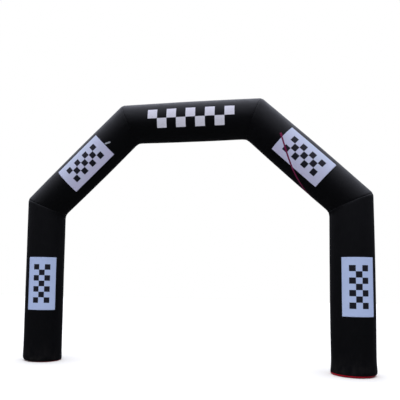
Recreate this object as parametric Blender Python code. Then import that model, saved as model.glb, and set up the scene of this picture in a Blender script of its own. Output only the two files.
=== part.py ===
"""Inflatable start arch: five mitred air tubes with sewn-on panels, tabs and a side strap.

Metres, +Z up. The arch stands on z = 0 in the XZ plane, centred on x = 0, with its front towards -Y.
"""

import math
from collections import namedtuple

import bmesh
import bpy
from mathutils import Vector

# The line of the tubes' centres.
LEG_X = 2.74
SHOULDER_Z = 2.85
CORNER_X = 1.133
CORNER_Z = 4.38

# The tubes.
TUBE_RADIUS = 0.35
TUBE_SIDES = 50
MID_SWELL = 0.009
MID_RINGS = 3

# The mitre seams: a drawn-in groove, and the rounding that pressure gives the folds.
SEAM_DRAW = 0.006
SEAM_REACH = 0.02
SHOULDER_OUTER_FOLD = 0.12
SHOULDER_INNER_FOLD = 0.22
CORNER_OUTER_FOLD = 0.10
CORNER_INNER_FOLD = 0.22
SEAM_RINGS = (0.0, 0.012, 0.030, 0.060, 0.100, 0.160, 0.240)

# The feet: a flat sole with a rounded rim, spread a little by the weight above.
FOOT_RIM = 0.045
FOOT_RIM_STEPS = 4
FOOT_SPREAD = 0.014
FOOT_SPREAD_REACH = 0.11
FOOT_RINGS = (0.085, 0.145, 0.240)

# The sewn-on panels. The centre is measured up the tube from its lower end, and the turn is how far
# round from the front, outwards, the panel is sewn. The turn and the width are in the tube's sides.
Panel = namedtuple("Panel", "centre length turn")
LEFT_LEG_PANEL = Panel(1.409, 0.955, -2)
LEFT_HAUNCH_PANEL = Panel(1.137, 0.976, -1)
RIGHT_HAUNCH_PANEL = Panel(1.090, 0.976, 0)
RIGHT_LEG_PANEL = Panel(1.441, 0.955, 1)
PANEL_HALF_SIDES = 6
PANEL_ROWS = 6
PANEL_THICKNESS = 0.0015

# Webbing: the strap winds round the right haunch from its front tab to its rear tab.
STRAP_WIDTH = 0.025
STRAP_TOP = 1.638
STRAP_BOTTOM = 0.354
STRAP_FRONT_AT = 1.616
STRAP_FRONT_ANGLE = math.radians(2.5)
STRAP_TURN_PER_METRE = math.radians(93.0)
STRAP_STEPS = 56
WEBBING_THICKNESS = 0.0015
STRAP_TAB_WIDTH = 0.036
STRAP_TAB_LENGTH = 0.060
STRAP_TAB_INSET = 0.022
LEFT_TAB_AT = 1.685
LEFT_TAB_WIDTH = 0.027
LEFT_TAB_LENGTH = 0.106
LEFT_TAB_SLANT = math.radians(26.0)
LEFT_TAB_ANGLE = math.radians(-13.0)
TAB_STEPS = 4

# Clearances.
GAP = 0.0003
WEBBING_LIFT = 0.0006
STEP_FLAT = 0.022
STEP_FALL = 0.045

# sRGB colours, roughness.
BLACK_CLOTH = ((0.012, 0.012, 0.013), 0.55)
WHITE_CLOTH = ((0.62, 0.66, 0.76), 0.60)
GREY_WEBBING = ((0.46, 0.46, 0.45), 0.70)
RED_WEBBING = ((0.25, 0.012, 0.03), 0.65)

Tube = namedtuple("Tube", "start axis out length bends folds")
Patch = namedtuple("Patch", "low high half_width top angle slant")

FRONT = Vector((0.0, -1.0, 0.0))


# ---- The tube's surface ----


def make_tube(line, index):
    """The tube between two joints of the line; a bend is half of the turn at that end."""
    a, b = line[index], line[index + 1]
    axis = (b - a).normalized()
    out = Vector((-axis.z, 0.0, axis.x))
    bends, folds = [], []
    for near, far in ((index - 1, index), (index + 1, index + 2)):
        if near < 0 or far >= len(line):
            bends.append(0.0)
            folds.append(None)
            continue
        other = (line[far] - line[near]).normalized()
        bends.append(axis.angle(other) / 2)
        joint = a if near < index else b
        at_shoulder = joint.z < (SHOULDER_Z + CORNER_Z) / 2
        folds.append(
            (SHOULDER_OUTER_FOLD, SHOULDER_INNER_FOLD)
            if at_shoulder
            else (CORNER_OUTER_FOLD, CORNER_INNER_FOLD)
        )
    return Tube(a, axis, out, (b - a).length, bends, folds)


def arc_drop(radius, reach, distance):
    """How far an arc that starts level at reach has left the straight line at this distance."""
    past = max(0.0, reach - distance)
    return radius - math.sqrt(radius * radius - past * past)


def end_shape(tube, end, angle, distance):
    """What one end adds to the tube's radius, at a distance along the tube from that end."""
    if tube.folds[end] is None:
        rim = arc_drop(FOOT_RIM, FOOT_RIM, distance)
        spread = FOOT_SPREAD * math.exp(-(((distance - FOOT_RIM) / FOOT_SPREAD_REACH) ** 2))
        return spread - rim
    outer, inner = tube.folds[end]
    side = math.sin(angle)
    fold = outer if side > 0 else inner
    drop = arc_drop(fold, fold * math.sin(tube.bends[end] * abs(side)), distance)
    groove = SEAM_DRAW * math.exp(-((distance / SEAM_REACH) ** 2))
    return (-drop if side > 0 else drop) - groove


def end_at(tube, end, angle):
    """Where the tube ends along its axis: on the mitre, or on the sole."""
    if tube.folds[end] is None:
        return 0.0 if end == 0 else tube.length
    rim = TUBE_RADIUS + end_shape(tube, end, angle, 0.0)
    slant = rim * math.sin(angle) * math.tan(tube.bends[end]) - GAP / 2 / math.cos(tube.bends[end])
    return -slant if end == 0 else tube.length + slant


def radius_at(tube, along, angle):
    first, last = end_at(tube, 0, angle), end_at(tube, 1, angle)
    share = min(1.0, max(0.0, (along - first) / (last - first)))
    shapes = end_shape(tube, 0, angle, along - first) + end_shape(tube, 1, angle, last - along)
    return TUBE_RADIUS + MID_SWELL * math.sin(math.pi * share) + shapes


def surface_point(tube, along, angle, lift=0.0):
    outward = FRONT * math.cos(angle) + tube.out * math.sin(angle)
    return tube.start + tube.axis * along + outward * (radius_at(tube, along, angle) + lift)


# ---- Meshes ----


def ring_distances(tube, end):
    if tube.folds[end] is not None:
        return list(SEAM_RINGS)
    quarter = [math.pi / 2 * step / FOOT_RIM_STEPS for step in range(FOOT_RIM_STEPS + 1)]
    return [FOOT_RIM * (1 - math.cos(turn)) for turn in quarter] + list(FOOT_RINGS)


def tube_mesh(tube):
    """Rings of vertices that follow both ends' planes, closed by a fan on each end."""
    mesh = bmesh.new()
    near, far = ring_distances(tube, 0), ring_distances(tube, 1)
    angles = [math.tau * side / TUBE_SIDES for side in range(TUBE_SIDES)]
    columns = []
    for angle in angles:
        first, last = end_at(tube, 0, angle), end_at(tube, 1, angle)
        low, high = first + near[-1], last - far[-1]
        middle = [low + (high - low) * (i + 1) / (MID_RINGS + 1) for i in range(MID_RINGS)]
        places = [first + d for d in near] + middle + [last - d for d in reversed(far)]
        columns.append([mesh.verts.new(surface_point(tube, s, angle)) for s in places])
    for left, right in zip(columns, columns[1:] + columns[:1]):
        for i in range(len(left) - 1):
            mesh.faces.new((left[i], left[i + 1], right[i + 1], right[i]))
    for end, row in ((0, 0), (1, -1)):
        inset = 0.0 if tube.folds[end] is None else GAP / 2 / math.cos(tube.bends[end])
        along = inset if end == 0 else tube.length - inset
        hub = mesh.verts.new(tube.start + tube.axis * along)
        for left, right in zip(columns, columns[1:] + columns[:1]):
            mesh.faces.new((left[row], right[row], hub))
    return mesh


def sheet_mesh(rows):
    """A thin closed sheet from rows of (under, upper) point pairs."""
    mesh = bmesh.new()
    grid = [[(mesh.verts.new(under), mesh.verts.new(upper)) for under, upper in row] for row in rows]
    last_row, last_column = len(grid) - 1, len(grid[0]) - 1
    for i in range(last_row):
        for j in range(last_column):
            corners = (grid[i][j], grid[i + 1][j], grid[i + 1][j + 1], grid[i][j + 1])
            mesh.faces.new([under for under, _ in corners])
            mesh.faces.new([upper for _, upper in reversed(corners)])
    rim = [grid[i][0] for i in range(last_row)] + [grid[last_row][j] for j in range(last_column)]
    rim += [grid[i][last_column] for i in range(last_row, 0, -1)]
    rim += [grid[0][j] for j in range(last_column, 0, -1)]
    for (under_a, upper_a), (under_b, upper_b) in zip(rim, rim[1:] + rim[:1]):
        mesh.faces.new((under_a, under_b, upper_b, upper_a))
    return mesh


def outside(patch, along, angle):
    """How far a place on the tube is from a patch that lies on it; 0 on the patch."""
    ahead = along - (patch.low + patch.high) / 2
    across = (angle - patch.angle) * TUBE_RADIUS
    turned_ahead = ahead * math.cos(patch.slant) - across * math.sin(patch.slant)
    turned_across = ahead * math.sin(patch.slant) + across * math.cos(patch.slant)
    over_length = max(0.0, abs(turned_ahead) - (patch.high - patch.low) / 2)
    over_width = max(0.0, abs(turned_across) - patch.half_width)
    return math.hypot(over_length, over_width)


def lift_over(patches, along, angle):
    """The height of webbing over the tube: it steps over the patches that it crosses."""
    lift = 0.0
    for patch in patches:
        fall = min(1.0, max(0.0, (outside(patch, along, angle) - STEP_FLAT) / STEP_FALL))
        lift = max(lift, patch.top * (1 - fall * fall * (3 - 2 * fall)))
    return lift + WEBBING_LIFT


def webbing_mesh(tube, path, width, patches):
    """A strip along a path of (along, angle) places, with its width square to the path."""
    rows = []
    for i, (along, angle) in enumerate(path):
        before, after = path[max(i - 1, 0)], path[min(i + 1, len(path) - 1)]
        ahead, across = after[0] - before[0], (after[1] - before[1]) * TUBE_RADIUS
        size = math.hypot(ahead, across)
        row = []
        for half in (-width / 2, 0.0, width / 2):
            place = along - across / size * half
            turn = angle + ahead / size * half / TUBE_RADIUS
            lift = lift_over(patches, place, turn)
            under = surface_point(tube, place, turn, lift)
            row.append((under, surface_point(tube, place, turn, lift + WEBBING_THICKNESS)))
        rows.append(row)
    return sheet_mesh(rows)


# ---- Objects ----


def material(name, finish):
    colour, roughness = finish
    made = bpy.data.materials.new(name)
    made.use_nodes = True
    shader = made.node_tree.nodes["Principled BSDF"]
    shader.inputs["Base Color"].default_value = (*colour, 1.0)
    shader.inputs["Roughness"].default_value = roughness
    shader.inputs["Metallic"].default_value = 0.0
    made.diffuse_color = (*colour, 1.0)
    return made


def add_object(name, built, finish):
    bmesh.ops.recalc_face_normals(built, faces=built.faces)
    data = bpy.data.meshes.new(name)
    built.to_mesh(data)
    built.free()
    data.shade_smooth()
    data.set_sharp_from_angle(angle=math.radians(35))
    data.materials.append(material(name, finish))
    bpy.context.scene.collection.objects.link(bpy.data.objects.new(name, data))


def add_tube(name, tube):
    add_object(name, tube_mesh(tube), BLACK_CLOTH)


def add_panel(name, tube, centre, panel):
    """A panel on the front of a tube, with its columns on the tube's own sides."""
    side = math.tau / TUBE_SIDES
    under_lift = GAP / math.cos(side / 2)
    rows = []
    for i in range(PANEL_ROWS + 1):
        along = centre + panel.length * (i / PANEL_ROWS - 0.5)
        row = []
        for j in range(-PANEL_HALF_SIDES, PANEL_HALF_SIDES + 1):
            angle = (panel.turn + j) * side
            under = surface_point(tube, along, angle, under_lift)
            row.append((under, surface_point(tube, along, angle, under_lift + PANEL_THICKNESS)))
        rows.append(row)
    add_object(name, sheet_mesh(rows), WHITE_CLOTH)
    half_width = PANEL_HALF_SIDES * side * TUBE_RADIUS
    top = under_lift + PANEL_THICKNESS
    low, high = centre - panel.length / 2, centre + panel.length / 2
    return Patch(low, high, half_width, top, panel.turn * side, 0.0)


def add_tab(name, tube, centre, angle, length, width, slant, finish):
    """A straight webbing tab that lies on a tube, turned by slant from the tube's axis."""
    path = []
    for i in range(TAB_STEPS + 1):
        ahead = length * (i / TAB_STEPS - 0.5)
        turn = angle - ahead * math.sin(slant) / TUBE_RADIUS
        path.append((centre + ahead * math.cos(slant), turn))
    add_object(name, webbing_mesh(tube, path, width, []), finish)
    top = WEBBING_LIFT + WEBBING_THICKNESS
    return Patch(centre - length / 2, centre + length / 2, width / 2, top, angle, slant)


for old in list(bpy.data.objects):
    bpy.data.objects.remove(old, do_unlink=True)

joints = [(-LEG_X, 0.0), (-LEG_X, SHOULDER_Z), (-CORNER_X, CORNER_Z)]
joints += [(-x, z) for x, z in reversed(joints)]
centre_line = [Vector((x, 0.0, z)) for x, z in joints]
left_leg, left_haunch, top_beam, right_haunch, right_leg = (
    make_tube(centre_line, index) for index in range(len(centre_line) - 1)
)

add_tube("left_leg", left_leg)
add_tube("left_haunch", left_haunch)
add_tube("top_beam", top_beam)
add_tube("right_haunch", right_haunch)
add_tube("right_leg", right_leg)

# The right-hand tubes run down from the beam, so places on them count back from their lower ends.
leg_down = right_leg.length - RIGHT_LEG_PANEL.centre
haunch_down = right_haunch.length - RIGHT_HAUNCH_PANEL.centre
add_panel("left_leg_panel", left_leg, LEFT_LEG_PANEL.centre, LEFT_LEG_PANEL)
add_panel("left_haunch_panel", left_haunch, LEFT_HAUNCH_PANEL.centre, LEFT_HAUNCH_PANEL)
right_panel = add_panel("right_haunch_panel", right_haunch, haunch_down, RIGHT_HAUNCH_PANEL)
add_panel("right_leg_panel", right_leg, leg_down, RIGHT_LEG_PANEL)

add_tab("left_tab", left_haunch, LEFT_TAB_AT, LEFT_TAB_ANGLE, LEFT_TAB_LENGTH, LEFT_TAB_WIDTH,
        LEFT_TAB_SLANT, GREY_WEBBING)


def strap_angle(above_shoulder):
    """Where a strap that winds evenly round the haunch is, at a height along the haunch."""
    return STRAP_FRONT_ANGLE + STRAP_TURN_PER_METRE * (above_shoulder - STRAP_FRONT_AT)


strap_slant = math.atan(STRAP_TURN_PER_METRE * TUBE_RADIUS)
crossed = [right_panel]
for tab_name, tab_at in (
    ("right_tab", STRAP_TOP - STRAP_TAB_INSET),
    ("rear_tab", STRAP_BOTTOM + STRAP_TAB_INSET),
):
    down = right_haunch.length - tab_at
    tab_angle = strap_angle(tab_at)
    crossed.append(
        add_tab(tab_name, right_haunch, down, tab_angle, STRAP_TAB_LENGTH, STRAP_TAB_WIDTH,
                strap_slant, RED_WEBBING)
    )
strap_path = []
for step in range(STRAP_STEPS + 1):
    above = STRAP_TOP + (STRAP_BOTTOM - STRAP_TOP) * step / STRAP_STEPS
    strap_path.append((right_haunch.length - above, strap_angle(above)))
strap = webbing_mesh(right_haunch, strap_path, STRAP_WIDTH, crossed)
add_object("side_strap", strap, RED_WEBBING)
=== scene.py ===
import math

import bmesh
import bpy
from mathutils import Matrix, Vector


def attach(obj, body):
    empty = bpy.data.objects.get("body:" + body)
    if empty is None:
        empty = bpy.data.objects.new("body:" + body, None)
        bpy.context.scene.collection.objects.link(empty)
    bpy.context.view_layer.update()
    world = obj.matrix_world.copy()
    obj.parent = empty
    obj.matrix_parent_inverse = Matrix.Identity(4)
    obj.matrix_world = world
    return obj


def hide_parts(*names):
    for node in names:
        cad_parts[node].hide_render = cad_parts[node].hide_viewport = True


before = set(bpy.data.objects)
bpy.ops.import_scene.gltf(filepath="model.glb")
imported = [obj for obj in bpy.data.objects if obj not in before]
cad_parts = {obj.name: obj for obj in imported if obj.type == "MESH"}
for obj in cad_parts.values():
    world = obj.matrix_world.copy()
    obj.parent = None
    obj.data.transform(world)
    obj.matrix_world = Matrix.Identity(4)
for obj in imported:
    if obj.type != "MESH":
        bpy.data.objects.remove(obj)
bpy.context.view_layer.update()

# ------------------------------------------------------------------------------------------------
# The five air tubes. Each is a sleeve of black PVC-coated polyester cloth, cut to a mitre at each
# joint, sewn to its neighbour there and kept round by a blower. The thread gathers the cloth, so
# fine puckers run out from every mitre. The legs end in flat soles that the weight above spreads.
# ------------------------------------------------------------------------------------------------

LEG_X = 2.74
SHOULDER_Z = 2.85
CORNER_X = 1.133
CORNER_Z = 4.38

TUBE_SHAPE = {
    "Radius": 0.35,
    "Swell": 0.009,
    "Groove reach": 0.02,
    "Seam gap": 0.0003,
    "Wave height": 0.0030,
    "Waves per metre": 2.6,
    "Pucker height": 0.0045,
    "Pucker reach": 0.050,
    "Puckers per metre": 15.0,
}
# The radius that the cloth folds to at a mitre, outside the bend and inside it.
SHOULDER_FOLDS = (0.12, 0.22)
CORNER_FOLDS = (0.10, 0.22)
# How far the thread draws the cloth in along a mitre.
SEAM_DRAW = 0.003
# Waves and puckers are longer along the sleeve than round it, so their noise is squeezed that way.
WAVE_SQUEEZE = 0.45
PUCKER_SQUEEZE = 0.22
# Puckers have the first share of their height in front, and both shares inside the bend.
PUCKER_FRONT_SHARE = 0.55
PUCKER_INNER_SHARE = 0.45
# The legs press outwards, so a sole's outer rim is rounder than its inner one.
FOOT_RIM = 0.050
FOOT_RIM_LEAN = 0.5
FOOT_SPREAD = {"left": 0.003, "right": 0.012}
FOOT_SPREAD_REACH = 0.11
FOOT_PUCKER = 0.004
# The sleeve's rows lie this far apart, with this many points round it.
RING_STEP = 0.012
AROUND = 184
MERGE_WITHIN = 0.0001
# A row's share of the sleeve's length may be this much off, by rounding.
SHARE_SLACK = 0.0001

FLOAT, VECTOR, INTEGER = "NodeSocketFloat", "NodeSocketVector", "NodeSocketInt"
MATERIAL, GEOMETRY = "NodeSocketMaterial", "NodeSocketGeometry"
MATH, VECTOR_MATH, NOISE = "ShaderNodeMath", "ShaderNodeVectorMath", "ShaderNodeTexNoise"
GROUP, MIX, CLAMP = "GeometryNodeGroup", "ShaderNodeMix", "ShaderNodeClamp"

# What the trees below need to know of a tube: its place, its two ends and its cloth.
TUBE_SOCKETS = {
    **dict.fromkeys(("Start", "Axis", "Out"), VECTOR),
    **dict.fromkeys((
        "Length", "Radius", "Swell", "Start bend", "Start outer fold", "Start inner fold",
        "Start groove", "End bend", "End outer fold", "End inner fold", "End groove", "Start seed",
        "End seed", "Groove reach", "Seam gap", "Foot rim", "Foot rim lean", "Foot spread",
        "Foot spread reach", "Foot pucker", "Wave height", "Waves per metre", "Pucker height",
        "Pucker reach", "Puckers per metre"), FLOAT),
}


def add(tree, kind, inputs=(), **settings):
    """Adds a node with its settings, which come before its inputs because they choose its sockets.

    Inputs are sockets, nodes, which stand for their first output, or plain values. They go by name
    in a dictionary and otherwise in order.
    """
    made = tree.nodes.new(kind)
    for name, value in settings.items():
        setattr(made, name, value)
    for key, value in inputs.items() if isinstance(inputs, dict) else enumerate(inputs):
        if isinstance(value, bpy.types.Node):
            value = value.outputs[0]
        if isinstance(value, bpy.types.NodeSocket):
            tree.links.new(value, made.inputs[key])
        else:
            made.inputs[key].default_value = value
    return made


def new_tree(name, takes, gives):
    """A Geometry Nodes tree with named inputs and outputs; returns it, its inputs and its output."""
    tree = bpy.data.node_groups.new(name, "GeometryNodeTree")
    for socket, kind in takes.items():
        tree.interface.new_socket(socket, in_out="INPUT", socket_type=kind)
    for socket, kind in gives.items():
        tree.interface.new_socket(socket, in_out="OUTPUT", socket_type=kind)
    return tree, tree.nodes.new("NodeGroupInput").outputs, tree.nodes.new("NodeGroupOutput")


def give(tree, result, **outputs):
    """Links a tree's results to its outputs, by their names."""
    for name, value in outputs.items():
        tree.links.new(value, result.inputs[name])


def tube_of(given, **more):
    """The inputs of a group that needs the whole tube, passed on from the tree around it."""
    return {**{name: given[name] for name in TUBE_SOCKETS}, **more}


def bell(tree, distance, reach):
    """A smooth fall from 1 at no distance to nearly 0 at twice the reach."""
    fall = add(tree, MATH, (distance, reach), operation="DIVIDE")
    fall = add(tree, MATH, (fall, fall), operation="MULTIPLY")
    fall = add(tree, MATH, (fall, -1.0), operation="MULTIPLY")
    return add(tree, MATH, (fall,), operation="EXPONENT")


def mitred_end_tree():
    """How far an end's folded corner and its sewn groove move the cloth in or out.

    Side is 1 at the outside of the bend, 0 at the tube's front and back, and -1 at the inside.
    """
    takes = dict.fromkeys(
        ("Side", "Bend", "Outer fold", "Inner fold", "Groove", "Reach", "Distance"), FLOAT)
    tree, given, result = new_tree("mitred end", takes, {"Shape": FLOAT})
    outer = add(tree, MATH, (given["Side"], 0.0), operation="GREATER_THAN")
    fold = add(tree, MIX, {"Factor": outer, "A": given["Inner fold"], "B": given["Outer fold"]})
    side = add(tree, MATH, (given["Side"],), operation="ABSOLUTE")
    turn = add(tree, MATH, (given["Bend"], side), operation="MULTIPLY")
    slope = add(tree, MATH, (turn,), operation="SINE")
    fold_reach = add(tree, MATH, (slope, fold), operation="MULTIPLY")

    # The fold is a round arc. It cuts off the corner outside the bend, and fills it inside.
    past = add(tree, MATH, (fold_reach, given["Distance"]), operation="SUBTRACT")
    past = add(tree, MATH, (past, 0.0), operation="MAXIMUM")
    past_squared = add(tree, MATH, (past, past), operation="MULTIPLY")
    fold_squared = add(tree, MATH, (fold, fold), operation="MULTIPLY")
    level = add(tree, MATH, (fold_squared, past_squared), operation="SUBTRACT")
    level = add(tree, MATH, (level,), operation="SQRT")
    drop = add(tree, MATH, (fold, level), operation="SUBTRACT")
    inward = add(tree, MATH, (outer, -2.0, 1.0), operation="MULTIPLY_ADD")
    shift = add(tree, MATH, (drop, inward), operation="MULTIPLY")

    # The thread draws the cloth in along the mitre.
    near = bell(tree, given["Distance"], given["Reach"])
    groove = add(tree, MATH, (near, given["Groove"]), operation="MULTIPLY")
    shape = add(tree, MATH, (shift, groove), operation="SUBTRACT")
    give(tree, result, Shape=shape.outputs[0])
    return tree


def end_shape(tree, given, mitred_end, end, side, distance):
    """What the mitred end group says of one end of a tube, at a distance from it."""
    return add(tree, GROUP, node_tree=mitred_end, inputs={
        "Side": side, "Bend": given[end + " bend"], "Outer fold": given[end + " outer fold"],
        "Inner fold": given[end + " inner fold"], "Groove": given[end + " groove"],
        "Reach": given["Groove reach"], "Distance": distance})


def tube_ends_tree(mitred_end):
    """Where the cloth starts and stops along the tube, at an angle round it."""
    takes = {**TUBE_SOCKETS, "Angle": FLOAT}
    tree, given, result = new_tree("ends of a tube", takes, {"First": FLOAT, "Last": FLOAT})
    side = add(tree, MATH, (given["Angle"],), operation="SINE")
    # Each end slants through the joint's middle, and stops half of the seam's gap short of it.
    reach = {}
    for end in ("Start", "End"):
        bend = given[end + " bend"]
        shape = end_shape(tree, given, mitred_end, end, side, 0.0)
        rim = add(tree, MATH, (given["Radius"], shape), operation="ADD")
        rim = add(tree, MATH, (rim, side), operation="MULTIPLY")
        slope = add(tree, MATH, (bend,), operation="TANGENT")
        slant = add(tree, MATH, (rim, slope), operation="MULTIPLY")
        level = add(tree, MATH, (bend,), operation="COSINE")
        gap = add(tree, MATH, (given["Seam gap"], level), operation="DIVIDE")
        reach[end] = add(tree, MATH, (gap, -0.5, slant), operation="MULTIPLY_ADD")
    first = add(tree, MATH, (reach["Start"], -1.0), operation="MULTIPLY")
    last = add(tree, MATH, (given["Length"], reach["End"]), operation="ADD")
    give(tree, result, First=first.outputs[0], Last=last.outputs[0])
    return tree


def tube_surface_tree(mitred_end, tube_ends):
    """The place of a point of the cloth, from how far along and round the tube it is."""
    takes = {**TUBE_SOCKETS, "Along": FLOAT, "Angle": FLOAT, "Lift": FLOAT}
    tree, given, result = new_tree("surface of a tube", takes, {"Position": VECTOR})
    ends = add(tree, GROUP, tube_of(given, Angle=given["Angle"]), node_tree=tube_ends)
    side = add(tree, MATH, (given["Angle"],), operation="SINE")
    front = add(tree, MATH, (given["Angle"],), operation="COSINE")
    from_start = add(tree, MATH, (given["Along"], ends.outputs["First"]), operation="SUBTRACT")
    to_end = add(tree, MATH, (ends.outputs["Last"], given["Along"]), operation="SUBTRACT")

    # The pressure swells the middle of the sleeve a little.
    whole = add(tree, MATH, (from_start, to_end), operation="ADD")
    share = add(tree, MATH, (from_start, whole), operation="DIVIDE")
    share = add(tree, CLAMP, (share,))
    share = add(tree, MATH, (share, math.pi), operation="MULTIPLY")
    share = add(tree, MATH, (share,), operation="SINE")
    radius = add(tree, MATH, (share, given["Swell"], given["Radius"]), operation="MULTIPLY_ADD")
    radius = add(tree, MATH, (radius, given["Lift"]), operation="ADD")

    # Broad, shallow waves in the cloth, longer along the sleeve than round it.
    round_x = add(tree, MATH, (front, given["Radius"]), operation="MULTIPLY")
    round_y = add(tree, MATH, (side, given["Radius"]), operation="MULTIPLY")
    depth = add(tree, MATH, (given["Along"], WAVE_SQUEEZE, given["Start seed"]), operation="MULTIPLY_ADD")
    place = add(tree, "ShaderNodeCombineXYZ", (round_x, round_y, depth))
    wave = add(tree, NOISE, {"Vector": place, "Scale": given["Waves per metre"], "Detail": 1.5})
    wave = add(tree, MATH, (wave, 2.0, -1.0), operation="MULTIPLY_ADD")
    radius = add(tree, MATH, (wave, given["Wave height"], radius), operation="MULTIPLY_ADD")

    # Folds, grooves and puckers at both ends. The puckers are strongest on the inside of a bend.
    puckered = add(tree, MATH, (side, -PUCKER_INNER_SHARE, PUCKER_FRONT_SHARE), operation="MULTIPLY_ADD")
    for end, distance in (("Start", from_start), ("End", to_end)):
        shape = end_shape(tree, given, mitred_end, end, side, distance)
        radius = add(tree, MATH, (radius, shape), operation="ADD")
        depth = add(tree, MATH, (distance, PUCKER_SQUEEZE, given[end + " seed"]), operation="MULTIPLY_ADD")
        place = add(tree, "ShaderNodeCombineXYZ", (round_x, round_y, depth))
        pucker = add(tree, NOISE, {"Vector": place, "Scale": given["Puckers per metre"], "Detail": 1.0})
        pucker = add(tree, MATH, (pucker, 2.0, -1.0), operation="MULTIPLY_ADD")
        away = add(tree, MATH, (distance, given["Pucker reach"]), operation="DIVIDE")
        fade = add(tree, MATH, (1.0, away), operation="SUBTRACT")
        fade = add(tree, MATH, (fade,), operation="EXPONENT")
        fade = add(tree, MATH, (fade, away), operation="MULTIPLY")
        sewn = add(tree, MATH, (given[end + " groove"], 0.0), operation="GREATER_THAN")
        height = add(tree, MATH, (given["Pucker height"], puckered), operation="MULTIPLY")
        if end == "Start":
            height = add(tree, MIX, {"Factor": sewn, "A": given["Foot pucker"], "B": height})
        height = add(tree, MATH, (height, fade), operation="MULTIPLY")
        radius = add(tree, MATH, (height, pucker, radius), operation="MULTIPLY_ADD")

    # The sole's rounded rim, and the bulge just above it.
    foot_rim = add(tree, MATH, (side, given["Foot rim lean"], 1.0), operation="MULTIPLY_ADD")
    foot_rim = add(tree, MATH, (foot_rim, given["Foot rim"]), operation="MULTIPLY")
    below = add(tree, MATH, (foot_rim, from_start), operation="SUBTRACT")
    over = add(tree, MATH, (below, 0.0), operation="MAXIMUM")
    over = add(tree, MATH, (over, over), operation="MULTIPLY")
    rim = add(tree, MATH, (foot_rim, foot_rim), operation="MULTIPLY")
    rim = add(tree, MATH, (rim, over), operation="SUBTRACT")
    rim = add(tree, MATH, (rim, 0.0), operation="MAXIMUM")
    rim = add(tree, MATH, (rim,), operation="SQRT")
    rim = add(tree, MATH, (rim, foot_rim), operation="SUBTRACT")
    radius = add(tree, MATH, (radius, rim), operation="ADD")
    near = bell(tree, below, given["Foot spread reach"])
    radius = add(tree, MATH, (near, given["Foot spread"], radius), operation="MULTIPLY_ADD")

    along = add(tree, VECTOR_MATH, {"Vector": given["Axis"], "Scale": given["Along"]}, operation="SCALE")
    outward = add(tree, VECTOR_MATH, {"Vector": given["Out"], "Scale": side}, operation="SCALE")
    forward = add(tree, VECTOR_MATH, {"Vector": (0.0, -1.0, 0.0), "Scale": front}, operation="SCALE")
    outward = add(tree, VECTOR_MATH, (outward, forward), operation="ADD")
    outward = add(tree, VECTOR_MATH, {"Vector": outward, "Scale": radius}, operation="SCALE")
    position = add(tree, VECTOR_MATH, (given["Start"], along), operation="ADD")
    position = add(tree, VECTOR_MATH, (position, outward), operation="ADD")
    give(tree, result, Position=position.outputs[0])
    return tree


def lay_cloth(tree, given, result, grid, cloth_map, place, merge_within=0.0):
    """Maps a grid, moves it onto a tube, turns its faces outwards and gives it its cloth."""
    mapped = add(tree, "GeometryNodeStoreNamedAttribute", data_type="FLOAT2", domain="CORNER",
                 inputs={"Geometry": grid, "Name": "UVMap", "Value": cloth_map})
    laid = add(tree, "GeometryNodeSetPosition", {"Geometry": mapped, "Position": place})
    if merge_within:
        laid = add(tree, "GeometryNodeMergeByDistance", {"Geometry": laid, "Distance": merge_within})
    # On the right-hand tubes, which mirror the left-hand ones, a grid's faces point inwards.
    round_it = add(tree, VECTOR_MATH, ((0.0, -1.0, 0.0), given["Out"]), operation="CROSS_PRODUCT")
    hand = add(tree, VECTOR_MATH, (round_it, given["Axis"]), operation="DOT_PRODUCT")
    inside_out = add(tree, MATH, (hand.outputs["Value"], 0.0), operation="GREATER_THAN")
    turned = add(tree, "GeometryNodeFlipFaces", {"Mesh": laid, "Selection": inside_out})
    smooth = add(tree, "GeometryNodeSetShadeSmooth", {"Geometry": turned})
    finished = add(tree, "GeometryNodeSetMaterial", {"Geometry": smooth, "Material": given["Cloth"]})
    give(tree, result, Geometry=finished.outputs[0])


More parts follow.
